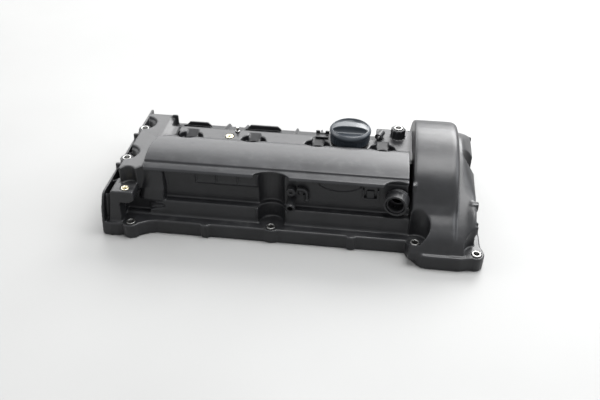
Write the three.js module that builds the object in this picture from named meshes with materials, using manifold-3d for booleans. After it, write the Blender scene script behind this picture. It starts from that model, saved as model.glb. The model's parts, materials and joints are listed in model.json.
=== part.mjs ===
// Moulded cylinder-head cover of a four-cylinder engine, with its oil
// separator, timing-chain hump, oil filler cap, breather fittings, seals,
// bolt sleeves and inserts.
// Millimetres, +Z up.  +X runs along the engine towards the chain end,
// +Y away from the separator side.  Design frame: X = 0 near the middle of
// the coil wells, Y = 0 on the long front flange face, Z = 0 on the gasket face.
import * as THREE from 'three';
import { mergeVertices } from 'three/addons/utils/BufferGeometryUtils.js';
import Module from 'manifold-3d';

const wasm = await Module();
wasm.setup();

// ---------------------------------------------------------------- dimensions
const X_LEFT = -209, X_RIGHT = 250, Y_FRONT = -25, Y_REAR = 207;
const FLANGE_H = 19;              // height of the flange band
const WALL = 3;                   // general wall thickness
const DECK_Z = 84;                // coil deck
const GAP = 0.3;                  // gap between neighbouring pieces
const WELL_PITCH = 81;            // cylinder pitch
const WELL_X = [-1.5, -0.5, 0.5, 1.5].map((k) => 3.3 + k * WELL_PITCH);
const WELL_Y = 89.5, WELL_R = 12.3, WELL_OUT_R = 16.4, WELL_BOTTOM = 8.6;
const SHELF_Z = 39.5, SHELF_Y0 = 15, UPPER_Y = 24.6;
const TROUGH = { y0: 27.6, y1: 70, floor: 46, x0: -147.5, x1: 154, rim: 81.5 };
const LID = { x0: -157, x1: 157 };
const HUMP_X0 = 162, HUMP_X1 = 215;
const CAP = { x: 83.5, y: 110 };
const NECK_R = 19, NECK_BORE = 15.5, NECK_TOP = 93;
const SLEEVE_R = 5.5, SLEEVE_BORE = 3.4;
const BREATHER = { x: 146.5, z: 62, r: 13.8, bore: 11.3, y0: 8, y1: 24.3 };
const NOZZLE = { x: 21, z: 47.5, r: 5.3, bore: 3.5, y0: 8, y1: 24.3 };
const PCV = { x: 84, y: 49, r: 18 };

// bolts: x, y, height of the sleeve's top
const BOLTS = {
  front_sleeve_1: [-172, -6, 20.5], front_sleeve_2: [-2, 6, 20.5],
  front_sleeve_3: [170, -2, 20.5], front_sleeve_4: [240, -14, 20.5],
  left_sleeve_1: [-187, 49, 76], left_sleeve_2: [-186, 120, 76],
  rear_sleeve_1: [-150, 200, 20.5], rear_sleeve_2: [-56, 200, 20.5],
  rear_sleeve_3: [38, 200, 20.5], rear_sleeve_4: [132, 200, 20.5],
  rear_sleeve_5: [236, 199, 20.5], right_sleeve: [238.5, 99, 20.5],
  deck_sleeve: [143, 127, 97.5],
};

// ---------------------------------------------------------------- helpers
function clean(geo) {
  let g = geo.index ? geo.toNonIndexed() : geo.clone();
  g.deleteAttribute('normal');
  if (g.attributes.uv) g.deleteAttribute('uv');
  return mergeVertices(g, 1e-4);
}
function solid(geo, m) {
  const g = clean(geo);
  if (m) g.applyMatrix4(m);
  return new wasm.Manifold(new wasm.Mesh({
    numProp: 3,
    vertProperties: new Float32Array(g.attributes.position.array),
    triVerts: new Uint32Array(g.index.array),
  }));
}
function geometryOf(man) {
  const me = man.getMesh();
  const g = new THREE.BufferGeometry();
  const n = me.numProp, v = me.vertProperties, p = new Float32Array((v.length / n) * 3);
  for (let i = 0; i < v.length / n; i++) for (let k = 0; k < 3; k++) p[3 * i + k] = v[n * i + k];
  g.setAttribute('position', new THREE.BufferAttribute(p, 3));
  g.setIndex(new THREE.BufferAttribute(new Uint32Array(me.triVerts), 1));
  g.computeVertexNormals();
  return g;
}
const V3 = (x, y, z) => new THREE.Vector3(x, y, z);
function shapeOf(pts) {
  const s = new THREE.Shape(pts.map(([a, b]) => new THREE.Vector2(a, b)));
  return s;
}
function ext(pts, depth, bevel = 0, seg = 2) {
  return new THREE.ExtrudeGeometry(shapeOf(pts), bevel > 0
    ? { depth: depth - 2 * bevel, bevelEnabled: true, bevelThickness: bevel, bevelSize: bevel, bevelOffset: -bevel, bevelSegments: seg, curveSegments: 1 }
    : { depth, bevelEnabled: false, curveSegments: 1 });
}
// prism from a YZ polygon along X, an XY polygon along Z, an XZ polygon along Y
function prismX(pts, x0, x1, bevel = 0, seg = 2) {
  const m = new THREE.Matrix4().makeBasis(V3(0, 1, 0), V3(0, 0, 1), V3(1, 0, 0));
  m.setPosition(x0 + bevel, 0, 0);
  return solid(ext(pts, x1 - x0, bevel, seg), m);
}
function prismZ(pts, z0, z1, bevel = 0, seg = 2) {
  const m = new THREE.Matrix4().makeTranslation(0, 0, z0 + bevel);
  return solid(ext(pts, z1 - z0, bevel, seg), m);
}
function prismY(pts, y0, y1, bevel = 0, seg = 2) {
  const m = new THREE.Matrix4().makeBasis(V3(1, 0, 0), V3(0, 0, 1), V3(0, -1, 0));
  m.setPosition(0, y1 - bevel, 0);
  return solid(ext(pts, y1 - y0, bevel, seg), m);
}
function box(x0, x1, y0, y1, z0, z1) {
  const g = new THREE.BoxGeometry(x1 - x0, y1 - y0, z1 - z0);
  return solid(g, new THREE.Matrix4().makeTranslation((x0 + x1) / 2, (y0 + y1) / 2, (z0 + z1) / 2));
}
function circle(x, y, r, n = 24, ry = r) {
  const a = [];
  for (let i = 0; i < n; i++) {
    const t = (2 * Math.PI * (i + 0.5)) / n;
    a.push([x + r * Math.cos(t), y + ry * Math.sin(t)]);
  }
  return a;
}
function cylZ(x, y, r, z0, z1, n = 24) { return prismZ(circle(x, y, r, n), z0, z1); }
// cylinder or cone between two points
function rod(a, b, r0, r1 = r0, n = 20) {
  const A = V3(...a), B = V3(...b), d = B.clone().sub(A);
  const g = new THREE.CylinderGeometry(r1, r0, d.length(), n, 1);
  const q = new THREE.Quaternion().setFromUnitVectors(V3(0, 1, 0), d.clone().normalize());
  const m = new THREE.Matrix4().compose(A.clone().add(B).multiplyScalar(0.5), q, V3(1, 1, 1));
  return solid(g, m);
}
// solid of revolution about Z through (x, y): profile of [r, z], closed
function lathe(x, y, prof, n = 32, z = 0) {
  const pts = prof.map(([r, h]) => new THREE.Vector2(r, h));
  pts.push(pts[0].clone());
  const g = new THREE.LatheGeometry(pts, n);
  const m = new THREE.Matrix4().makeRotationX(Math.PI / 2);
  m.premultiply(new THREE.Matrix4().makeTranslation(x, y, z));
  let s = solid(g, m);
  if (s.volume() < 0) {
    const idx = g.index.array;
    for (let i = 0; i < idx.length; i += 3) { const t = idx[i]; idx[i] = idx[i + 1]; idx[i + 1] = t; }
    s = solid(g, m);
  }
  return s;
}
// loft through rings of equal length; each ring is a list of [x, y, z]
function loft(rings) {
  const n = rings[0].length, pos = [], idx = [];
  for (const r of rings) for (const p of r) pos.push(...p);
  for (let k = 0; k + 1 < rings.length; k++) for (let i = 0; i < n; i++) {
    const a = k * n + i, b = k * n + ((i + 1) % n), c = a + n, d = b + n;
    idx.push(a, b, d, a, d, c);
  }
  // end caps: a fan about the middle of the end ring
  const cap = (ring, base, flip) => {
    const c = [0, 0, 0];
    for (const p of ring) for (let k = 0; k < 3; k++) c[k] += p[k] / n;
    const m = pos.length / 3;
    pos.push(...c);
    for (let i = 0; i < n; i++) {
      const a = base + i, b = base + ((i + 1) % n);
      if (flip) idx.push(m, b, a); else idx.push(m, a, b);
    }
  };
  const flat = rings[0].map((p) => new THREE.Vector2(p[1], p[2]));
  cap(rings[0], 0, true);
  cap(rings[rings.length - 1], (rings.length - 1) * n, false);
  if (THREE.ShapeUtils.isClockWise(flat)) for (let i = 0; i < idx.length; i += 3) { const t = idx[i]; idx[i] = idx[i + 1]; idx[i + 1] = t; }
  const g = new THREE.BufferGeometry();
  g.setAttribute('position', new THREE.Float32BufferAttribute(pos, 3));
  g.setIndex(idx);
  return solid(g);
}
function offsetPoly(pts, d) {      // positive d shrinks a counter-clockwise polygon
  const n = pts.length, out = [];
  for (let i = 0; i < n; i++) {
    const p = pts[(i + n - 1) % n], q = pts[i], r = pts[(i + 1) % n];
    let ax = q[0] - p[0], ay = q[1] - p[1], bx = r[0] - q[0], by = r[1] - q[1];
    const la = Math.hypot(ax, ay), lb = Math.hypot(bx, by);
    ax /= la; ay /= la; bx /= lb; by /= lb;
    const n1 = [-ay, ax], n2 = [-by, bx];
    let mx = n1[0] + n2[0], my = n1[1] + n2[1];
    const ml = Math.hypot(mx, my); mx /= ml; my /= ml;
    const k = Math.min(1 / Math.max(mx * n1[0] + my * n1[1], 0.3), 2);
    out.push([q[0] + mx * d * k, q[1] + my * d * k]);
  }
  return out;
}
function rounded(pts, rad, seg = 3) {   // round every corner of a polygon
  const n = pts.length, out = [];
  for (let i = 0; i < n; i++) {
    const p = pts[(i + n - 1) % n], q = pts[i], r = pts[(i + 1) % n];
    const R = Array.isArray(rad) ? rad[i] : rad;
    if (!R) { out.push(q); continue; }
    const la = Math.hypot(p[0] - q[0], p[1] - q[1]), lb = Math.hypot(r[0] - q[0], r[1] - q[1]);
    const ka = Math.min(R, la * 0.49), kb = Math.min(R, lb * 0.49);
    const a = [q[0] + ((p[0] - q[0]) / la) * ka, q[1] + ((p[1] - q[1]) / la) * ka];
    const b = [q[0] + ((r[0] - q[0]) / lb) * kb, q[1] + ((r[1] - q[1]) / lb) * kb];
    for (let s = 0; s <= seg; s++) {
      const t = s / seg;
      out.push([(1 - t) ** 2 * a[0] + 2 * t * (1 - t) * q[0] + t * t * b[0], (1 - t) ** 2 * a[1] + 2 * t * (1 - t) * q[1] + t * t * b[1]]);
    }
  }
  return out;
}
function spline(pts, n) {
  const c = new THREE.CatmullRomCurve3(pts.map(([a, b]) => V3(a, b, 0)), false, 'centripetal');
  return c.getSpacedPoints(n).map((p) => [p.x, p.y]);
}
const union = (list) => wasm.Manifold.union(list);

// ---------------------------------------------------------------- flange
const outline = [
  [-209, -6], [-206, -11], [-197, -12], [-187, -11.2], [-183, -9], [-180.5, -12.2], [-176, -14.6], [-171, -15],
  [-166, -13], [-163, -9], [-152, -2.5], [-142, 0],
  [-88, 0], [-86, -2.3], [-82, -3.2], [-78, -2.3], [-76, 0],
  [-10, 0], [-8, -1], [4, -1], [6, 0],
  [89, 0], [91, -2.3], [95, -3.2], [99, -2.3], [101, 0],
  [159, 0], [161, -6], [164, -10], [168, -14], [173, -20], [178, -24], [184, -25],
  [222, -25], [230, -22.8], [236, -22], [242, -22.5], [248, -18], [250, -12], [248.6, -5], [246, 2],
  [246, 190], [244, 200], [240, 206], [232, 207],
  [-198, 207], [-206, 204], [-209, 197],
];
const flange = prismZ(outline, 0, FLANGE_H - 1.2).add(prismZ(offsetPoly(outline, 1.2), FLANGE_H - 1.5, FLANGE_H));

// ---------------------------------------------------------------- main box
const mainOuter = [
  [12, 8], [12, FLANGE_H], [12.6, 21], [15, 38.6], [15.9, SHELF_Z], [UPPER_Y, SHELF_Z], [UPPER_Y, TROUGH.rim + 0.5],
  [73.4, TROUGH.rim + 0.5], [73.4, DECK_Z], [116, DECK_Z], [120, 82.6], [150, 60], [186, 47], [192, 42], [195.5, FLANGE_H], [195.5, 8],
].reverse();
const main = prismX(mainOuter, -153, 166);
const deckRear = prismX([
  [100, 50], [190, 20], [190, 45], [164, 58], [150, 80], [144, DECK_Z], [100, DECK_Z],
], 116, 166);

// left block at deck level with a forward strip
const leftBlock = prismX([
  [20, 8], [196, 8], [195.5, FLANGE_H], [192, 42], [186, 47], [160, 60], [148, 80], [144, DECK_Z], [20, DECK_Z],
], -184.5, -150);
const leftFront = prismZ(rounded([[-185, 12.5], [-165, 13.5], [-160, 19], [-151, 24], [-151, 38], [-185, 38]], [2, 2, 2, 2, 0, 2], 2), 54, DECK_Z)
  .add(prismZ([[-184, 21], [-151, 21], [-151, 38], [-184, 38]], 18, 55));
const lowLeft = box(-206, -150, 12, 197, 8, FLANGE_H + 2);
const tower = prismY([[-200, 10], [-184, 10], [-183, 24], [-180, 34], [-172, 46], [-164, 52], [-164, 62], [-165, 63], [-190.5, 63], [-192, 61.5]].reverse().map((p) => p), -7, 22)
  .intersect(prismX([[-14, 8], [-9.5, 20], [-6.6, 62], [-5.6, 63.1], [24, 63.1], [24, 8]].reverse(), -205, -150));
const endPlate = prismX(rounded([[-10, 0.5], [204, 0.5], [203, 40], [198, 60], [-6, 60], [-12, 40]], [0, 0, 4, 3, 5, 6], 2), -209, -190)
  .intersect(prismY([[-209, -1], [-205.5, -1], [-199, 61], [-202, 61]], -30, 220));
const endRibs = union([-2, 22, 66, 84, 102, 140, 157, 175, 191].map((y) => prismY(y < 0 ? [[-207, 10], [-178, 10], [-178, 60], [-200.5, 54]] : y < 145 ? [[-207, 10], [-178, 10], [-178, 68], [-200.5, 56]] : [[-207, 10], [-178, 10], [-179, 36], [-200.5, 52]], y, y + 2.4)));
// convex corner block at the left end of the separator
const ring = (z, x0, x1, y0, y1, r) => rounded([[x0, y0], [x1, y0], [x1, y1], [x0, y1]], [r, 5, 0, 0], 4).map(([x, y]) => [x, y, z]);
function loftZ(rings) {            // loft whose rings lie in XY
  const sw = rings.map((r) => r.map(([x, y, z]) => [z, x, y]));
  const s = loft(sw);
  const m = [0, 1, 0, 0, 0, 0, 1, 0, 1, 0, 0, 0];
  // (z, x, y) -> (x, y, z)
  const me = s.getMesh(), v = me.vertProperties, p = new Float32Array(v.length);
  for (let i = 0; i < v.length; i += 3) { p[i] = v[i + 1]; p[i + 1] = v[i + 2]; p[i + 2] = v[i]; }
  return new wasm.Manifold(new wasm.Mesh({ numProp: 3, vertProperties: p, triVerts: me.triVerts }));
}
const cornerBlock = loftZ([
  ring(37.5, -167, -137, 15.5, 40, 14), ring(39, -168, -134, 13.8, 40, 14), ring(56, -164, -132, 14.4, 40, 14),
  ring(74, -154.5, -133, 17.5, 40, 10), ring(81.2, -151, -134, 20, 40, 8),
]);

// ---------------------------------------------------------------- chain hump
const humpTop = spline([
  [-20.5, FLANGE_H - 1], [-17.5, 27], [-13.5, 36], [-2, 46.5], [13, 57], [28, 79], [36, 87.5], [46, 94.5], [62, 102], [84, 108], [108, 110],
  [130, 106.5], [150, 97.5], [166, 87], [181, 74], [194, 58], [202, 42], [205.5, 24], [206, FLANGE_H - 1],
], 26);
const humpRing = (x, d) => {
  const top = d === 0 ? humpTop : offsetOpen(humpTop, d);
  return [[x, Math.max(-20.5, top[0][0]), 8], ...top.map(([y, z]) => [x, y, z]), [x, Math.min(206, top[top.length - 1][0]), 8]];
};
function offsetOpen(pts, d) {
  const n = pts.length, out = [];
  for (let i = 0; i < n; i++) {
    const a = pts[Math.max(0, i - 1)], b = pts[Math.min(n - 1, i + 1)];
    const dx = b[0] - a[0], dz = b[1] - a[1], l = Math.hypot(dx, dz);
    out.push([pts[i][0] + (dz / l) * d, pts[i][1] - (dx / l) * d]);
  }
  out[0][1] = pts[0][1]; out[n - 1][1] = pts[n - 1][1];
  return out;
}
const hump = loft([
  humpRing(162, 3), humpRing(162.9, 1), humpRing(165, 0),
  humpRing(206.5, 0), humpRing(210.5, 0.9), humpRing(213.2, 2.6), humpRing(214.9, 5.2), humpRing(215.6, 9), humpRing(215.8, 16),
]);
const SH_A = spline([[-20, 18], [-15, 28], [-6, 37], [8, 47], [27, 58], [45, 67], [70, 78], [103, 86], [125, 87], [140, 85], [160, 77], [180, 64], [197, 45], [204, 30], [206, 18]], 18);
const SH_B = spline([[-19, 18], [-14, 28], [-6, 38], [2, 47], [15, 56], [34, 61], [70, 66], [103, 70.5], [125, 73.5], [145, 75], [160, 72.5], [176, 62], [195, 42], [203, 28], [205, 18]], 18);
const shRing = (x, t, d) => {
  const base = SH_A.map((p, i) => [p[0] * (1 - t) + SH_B[i][0] * t, p[1] * (1 - t) + SH_B[i][1] * t]);
  const top = d === 0 ? base : offsetOpen(base, d);
  return [[x, top[0][0], 8], ...top.map(([y, z]) => [x, y, z]), [x, top[top.length - 1][0], 8]];
};
const shoulder = loft([shRing(200, 0, 0), shRing(222, 0, 0), shRing(227, 0.22, 0.2), shRing(233, 0.7, 0), shRing(236.5, 1, 1), shRing(238, 1, 3.5)]);

// ---------------------------------------------------------------- columns and bosses
const columns = [];
for (const [x, y, z] of Object.values(BOLTS)) {
  const low = z < 30;
  columns.push(cylZ(x, y, low ? 8.6 : 8.4, 0, z - 0.8, 16));
}
const wellTubes = WELL_X.map((x) => cylZ(x, WELL_Y, WELL_OUT_R, WELL_BOTTOM, DECK_Z - 1, 24));
const wellPocket = (x, g) => [[x - 18.5 - g, 77 - g], [x + 18.5 + g, 77 - g], [x + 18.5 + g, 88.2], [x + 14 + g, 102 + g * 0.5], [x + 9 + g * 0.6, 105.5 + g], [x - 9 - g * 0.6, 105.5 + g], [x - 14 - g, 102 + g * 0.5], [x - 18.5 - g, 88.2]];
const pocketBlocks = WELL_X.map((x) => prismZ(wellPocket(x, 2.6), 73, DECK_Z - 0.5).add(box(x - 10.4, x + 10.4, 98, 117, 75.2, DECK_Z - 0.5)));
const neck = cylZ(CAP.x, CAP.y, NECK_R, 66, NECK_TOP, 28);
// tool channel to the middle front bolt: a U-shaped recess, wider above the shelf
const channelLinerUp = cylZ(-3, 17, 20.6, 30, TROUGH.rim, 24).intersect(box(-30, 30, UPPER_Y, 60, 0, 100));
const channelLinerLow = cylZ(-2.2, 12, 19.6, 10, SHELF_Z, 24).intersect(box(-30, 30, 13, 60, 0, 100));
const channelLiner = channelLinerUp.add(channelLinerLow);
const rearRibs = union([-142, -88, -62, 8, 42, 84].map((x) => prismX([
  [112, 79], [122, 81.2], [152, 63.5], [188, 50.5], [196, 44], [204, 20], [204, 12], [150, 40],
].reverse(), x - 1.3, x + 1.3)));
const humpRearRibs = union([-120].map((x) => box(x, x + 1, 150, 151, 40, 41)));
const lipRibs = union([
  box(-94.6, -19.6, 23.2, 26, 64.2, 65.8), ...[-94.6, -69.8, -44.2, -21.2].map((x) => box(x, x + 1.6, 22.2, 26, 64.2, 79)),
  prismY([[53, 79.5], [54.5, 73.2], [60, 70.2], [68, 67.6], [78, 66.6], [88, 67.6], [96, 70.2], [101.5, 73.2], [103, 79.5]], 22.6, 26),
]);
const bossRibs = union([0, 1, 2, 3, 4, 5, 6, 7, 8, 9].map((k) => {
  const a = (k + 0.25) * 36, r = (a * Math.PI) / 180;
  return box(7.6, 9.5, -0.9, 0.9, 83, 95.4).rotate([0, 0, a]).translate([143, 127, 0]);
}));
const stepRibs = union([[162.6, -7.6], [165.8, -11.6], [169.4, -15.4]].map(([x, y]) => cylZ(x, y, 1.7, 5, 17.4, 10)));
const shoulderTicks = union([[26.5, 50, 60.5], [30.5, 51, 61.5], [3, 34, 46], [7, 37, 48.5], [160, 58, 71], [164, 56, 69]].map(([y, z0, z1]) => box(231, 240.4, y - 1, y + 1, z0, z1)));
const rearFlap = box(-153.5, -145.5, 139.2, 142, 72, 86.5).add(box(-151, -148.6, 139.5, 148, 70, 82));
const shoulderRibs = union([32, 56, 78, 122, 150].map((y) => prismY([[234, 10], [244, 10], [243, 20], [236.6, 34], [234, 34]], y, y + 2.2)));
const chainFoot = union([
  prismX([[-24, 12], [-24, 19], [-18, 31], [-14, 31], [-14, 12]].reverse(), 200, 202.6),
]);

let body = union([
  flange, main, deckRear, leftBlock, leftFront, lowLeft, tower, endPlate, endRibs, cornerBlock, hump, shoulder,
  ...columns, ...wellTubes, ...pocketBlocks, neck, channelLiner, rearRibs, shoulderRibs, rearFlap, lipRibs, bossRibs, stepRibs, shoulderTicks,
]);

// ---------------------------------------------------------------- cavities
const keep = union([
  ...Object.values(BOLTS).map(([x, y, z]) => cylZ(x, y, 8.4, -2, z < 30 ? FLANGE_H - WALL : z, 16)),
  ...WELL_X.map((x) => cylZ(x, WELL_Y, WELL_OUT_R, WELL_BOTTOM, 90, 24)),
  ...WELL_X.map((x) => prismZ(wellPocket(x, 2.6), 73, 90).add(box(x - 10.4, x + 10.4, 98, 117, 75.2, 90))),
  cylZ(CAP.x, CAP.y, NECK_R, 66, 100, 28),
  cylZ(-3, 17, 20.6, 30, 90, 24), cylZ(-2.2, 12, 19.6, -2, SHELF_Z, 24),
  cylZ(170, -2, 18, -2, 70, 20), cylZ(238.5, 99, 17.6, -2, 95, 20), cylZ(240, -14, 18, -2, 60, 20), cylZ(-172, -6, 20, -2, 64, 20),
  cylZ(-187, 49, 18.6, 59, 90, 24), cylZ(-186, 120, 18.6, 59, 90, 24),
  // floor under the ramp that leads from the left block into the first well's recess
  box(-160, -136, 84, 141, 75.2, 90),
]);
const mainCavity = prismX([
  [19.5, -1], [19.5, 36.5], [UPPER_Y + 3, 36.5], [UPPER_Y + 3, TROUGH.floor - WALL], [73.2, TROUGH.floor - WALL], [73.2, DECK_Z - WALL],
  [115, DECK_Z - WALL], [148.6, 57.2], [184.8, 44.1], [189, 39.6], [191.5, 7], [186.5, 6], [186.5, -1],
].reverse(), -147, 166);
const deckRearCavity = prismX([[100, 40], [184, 30], [185, 43.6], [161.6, 56], [147.8, 77.6], [142.4, DECK_Z - WALL], [100, DECK_Z - WALL]], 119, 166);
const leftCavity = prismX([
  [22, -1], [186.5, -1], [186.5, 6], [191.5, 7], [189, 39.6], [184, 44], [157.6, 57.4], [145.6, 77.6], [142, DECK_Z - WALL], [23, DECK_Z - WALL], [23, 40], [22, 30],
], -168, -153).add(prismX([
  [22, -1], [186.5, -1], [186.5, 6], [191.5, 7], [189, 39.6], [184.8, 44.1], [148.6, 57.2], [115, DECK_Z - WALL], [23, DECK_Z - WALL], [23, 40], [22, 30],
], -153.1, -140)).add(prismX([
  [23, 8], [191.5, 8], [189, 39.6], [184, 44], [157.6, 57.4], [145.6, 77.6], [142, DECK_Z - WALL], [23, DECK_Z - WALL],
], -177, -153));
const troughKeep = prismX([[20, 36], [UPPER_Y + 3, 36], [TROUGH.y1 + 3.2, 43], [TROUGH.y1 + 3.2, 90], [20, 90]], -155, 157);
const humpIn = offsetOpen(humpTop, WALL).filter(([y, z], i) => z > 20 && y > -17 && y < 202 && i % 2 === 0);
const humpCavity = prismX([[-9.2, -1], [186.5, -1], [186.5, 6], [201, 8], ...humpIn.slice().reverse(), [-17, 18], [-16, 7], [-9.2, 6]], 165.4, 208);
const shIn = (t, x) => [[x, -9, 7], ...offsetOpen(SH_A.map((p, i) => [p[0] * (1 - t) + SH_B[i][0] * t, p[1] * (1 - t) + SH_B[i][1] * t]), WALL + 0.4).map(([y, z]) => [x, Math.max(-15.5, Math.min(200, y)), z]), [x, 186, 7]];
const shoulderCavity = loft([shIn(0, 205), shIn(0, 221), shIn(0.3, 226), shIn(0.75, 231), shIn(1, 234.4)])
  .add(prismX([[-5, -1], [186.5, -1], [186.5, 12], [-5, 12]], 205, 229));
const leftCav2 = leftCavity.subtract(keep).subtract(troughKeep.add(box(-170, -150, 10, 41, 20, 82)));
const cavity = mainCavity.add(deckRearCavity).subtract(troughKeep).add(humpCavity).add(shoulderCavity).subtract(keep);
body = body.subtract(cavity).subtract(leftCav2);

// separator trough, with openings for the breather, nozzle and drain
const troughCut = prismX([
  [TROUGH.y0, TROUGH.floor], [TROUGH.y1, TROUGH.floor], [TROUGH.y1, 90], [TROUGH.y0, 90],
], TROUGH.x0, TROUGH.x1).subtract(cylZ(-3, 17, 20.6, -2, 95, 24));
body = body.subtract(troughCut);

// seat of the separator lid
body = body.subtract(prismZ([[-153.2, 8], [157.3, 8], [157.3, 73.31], [-149.2, 73.31], [-152.7, 68.2], [-155.9, 58.1], [-157.3, 46], [-157.3, 22], [-156.3, 16.9]], TROUGH.rim, 100))
  .subtract(prismZ([[-153.4, 8], [157.3, 8], [157.3, 24.3], [-157.35, 24.3], [-157.35, 21.9], [-156.35, 16.8]], 79.8, 90));

// tool channels and clearances
const cuts = [
  cylZ(-3, 17, 17.6, SHELF_Z, 100, 24), cylZ(-2.2, 12, 16.4, FLANGE_H, SHELF_Z + 1, 24),
  cylZ(170, -2, 15, FLANGE_H, 66, 28),
  cylZ(240, -14, 15, FLANGE_H, 66, 28), cylZ(238.5, 99, 14.8, FLANGE_H, 95, 24),
  cylZ(-172, -6, 17, FLANGE_H, 47, 28).subtract(box(-200, -182.2, -30, 20, 0, 80)),
  cylZ(-187, 49, 12.6, 62, 90, 28), box(-206, -187, 37, 61, 62, 90), cylZ(-187, 49, 16, 79.4, 90, 28),
  cylZ(-186, 120, 12.5, 62, 90, 28), box(-206, -186, 108.5, 131.5, 62, 90), cylZ(-186, 120, 16, 79.4, 90, 28),
  cylZ(-173, 8.5, 9.8, 63, 90, 24),
  prismY([[-170.5, 38], [-160, 36.8], [-148, 35.2], [-137, 33.8], [-134.5, 31.4], [-136, 29], [-146, 27.6], [-156, 24.2], [-162, 22], [-170.5, 22]], 6, 16.6),
  box(157, 161.6, 6, 70.2, 48, 100),
  // chamfer of the left block into the first well's recess
  prismY([[-157.4, 90], [-157.4, DECK_Z + 0.1], [-155, 83.4], [-150.5, 81], [-146, 78.6], [-142, 77.4], [-134, 77.2], [-134, 90]], 86, 106),
  prismY([[-157.4, 90], [-157.4, DECK_Z + 0.1], [-155, 83.4], [-150.5, 81], [-146, 78.6], [-142, 77.8], [-139, 79], [-136, 82.6], [-135, 90]], 105.9, 139),
];
for (const c of cuts) body = body.subtract(c);
// bosses that stand in the pockets again
body = body.add(union([
  cylZ(-187, 49, 8.4, 55, 75.2, 16), cylZ(-186, 120, 8.4, 55, 75.2, 16),
  box(-203, -187, 46.8, 51.2, 40, 66), box(-203, -186, 117.8, 122.2, 40, 66),
]));

// coil wells: recess, bore and the coil tab
for (const x of WELL_X) {
  const tab = prismX([[99, 74], [116, 74], [116, DECK_Z + 2], [113.4, DECK_Z + 0.1], [107, 81], [101, 78], [99, 77.2]], x - 7.8, x + 7.8);
  const ramp = prismX([[99, 77.2], [101, 78], [107, 81], [113.4, DECK_Z + 0.1], [113.4, 95], [99, 95]], x - 7.8, x + 7.8);
  body = body.subtract(prismZ(wellPocket(x, 0), 76.4, 95).subtract(tab)).subtract(ramp);
  body = body.subtract(cylZ(x, WELL_Y, WELL_R, -2, 95, 24));
}
// filler neck bore
body = body.subtract(cylZ(CAP.x, CAP.y, NECK_BORE, 55, 100, 28));
// trough ports
body = body.subtract(rod([BREATHER.x, 20, BREATHER.z], [BREATHER.x, 32, BREATHER.z], 7.4, 7.4, 24));
body = body.subtract(rod([NOZZLE.x, 20, NOZZLE.z + 2], [NOZZLE.x, 32, NOZZLE.z + 2], NOZZLE.bore, NOZZLE.bore, 16));
for (const x of [-140, -60, 30]) body = body.subtract(cylZ(x, 60, 3, 40, 50, 12));
// gasket groove
const groovePath = [[-172.5, 15.2], [177, 15.2], [181, 11], [181, -12.5], [222, -12.5], [232, 6], [232, 80], [227.6, 87], [227.6, 111], [232, 118], [232, 182], [226, 189.5], [-164, 189.5], [-172.5, 181]];
const grooveOut = offsetPoly(groovePath, -2), grooveIn = offsetPoly(groovePath, 2);
// the flange land that carries the groove
body = body.add(prismZ(offsetPoly(groovePath, -3.6), 0, 6.5).subtract(prismZ(offsetPoly(groovePath, 4), -1, 8))
  .subtract(union(WELL_X.map((x) => cylZ(x, WELL_Y, WELL_R, -2, 95, 24)))));
body = body.subtract(prismZ(grooveOut, -1, 3.6).subtract(prismZ(grooveIn, -2, 5)));
// sleeve and insert holes
for (const [x, y, z] of Object.values(BOLTS)) body = body.subtract(cylZ(x, y, SLEEVE_R + GAP, -2, z < 30 ? 47 : 120, 16));
body = body.subtract(cylZ(-176, 3, 5.3, 50, 70, 16)).subtract(cylZ(-68.6, 101, 5.3, 70, 90, 16));
body = body.subtract(cylZ(-60.5, 113, 2.3, 74, 90, 10));
// keep strictly inside the nominal box
body = body.intersect(box(X_LEFT, X_RIGHT, Y_FRONT, Y_REAR, 0, 111));

// ---------------------------------------------------------------- lid
const lidOuter = [
  [16, 82.3], [15.7, 81.2], [17.3, 80.6], [24.3, 84.6], [24.7, TROUGH.rim + GAP], [73, TROUGH.rim + GAP], [73, DECK_Z + GAP], [84, DECK_Z + GAP],
  [83.4, 87.5], [81, 91.5], [77, 94.3], [72, 95.2], [60, 94.8], [50, 93.9], [41, 92.5], [33, 90.8], [27.2, 89.2], [26.3, 87.9], [25.2, 88.4], [20.5, 85.6],
];
const lidInner = [
  [27.9, 80], [69.8, 80], [69.8, 90.6], [60, 91.7], [50, 90.8], [41, 89.4], [33, 87.7], [28.2, 86.2],
];
const lidRear = [[79, 70], [79, 87], [76, 90.6], [73.2, 91.2], [73.2, 70]];
const lidPlan = [
  [-153, 10], [157, 10], [157, 90], [-131, 90], [-131, 84.6], [-140, 81], [-147, 75.5], [-152.4, 68], [-155.6, 58], [-157, 46], [-157, 22], [-156, 17],
];
let lid = prismX(lidOuter, LID.x0 - 1, LID.x1 + 1).intersect(prismZ(lidPlan, 60, 110));
lid = lid.subtract(prismX(lidInner, TROUGH.x0, TROUGH.x1));
for (const x of WELL_X) lid = lid.subtract(cylZ(x, WELL_Y, 16.6, 70, 110, 32));
lid = lid.subtract(prismZ(circle(-3, 12, 23.5, 36, 12.3), 60, 110));
lid = lid.subtract(prismZ(circle(BREATHER.x - 1, 12, 18, 30, 12.2), 60, 110));
lid = lid.subtract(prismZ(circle(-3, 17, 21.2, 24), 60, TROUGH.rim + 3.2));

// ---------------------------------------------------------------- separator internals
let baffle = box(-146.8, 44, TROUGH.y0 + 0.6, TROUGH.y1 - 0.6, 60, 62);
for (let i = 0; i < 6; i++) {
  const x = -138 + i * 32;
  baffle = baffle.add(box(x, x + 2, TROUGH.y0 + 0.6, TROUGH.y1 - (i % 2 ? 0.6 : 12), 61, 78));
  baffle = baffle.add(box(x + 14, x + 16, TROUGH.y0 + (i % 2 ? 0.6 : 12), TROUGH.y1 - 0.6, 47, 61));
  baffle = baffle.subtract(cylZ(x + 24, 48, 4, 55, 70, 12));
}
baffle = baffle.subtract(cylZ(-3, 17, 21.3, 0, 100, 24));

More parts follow.
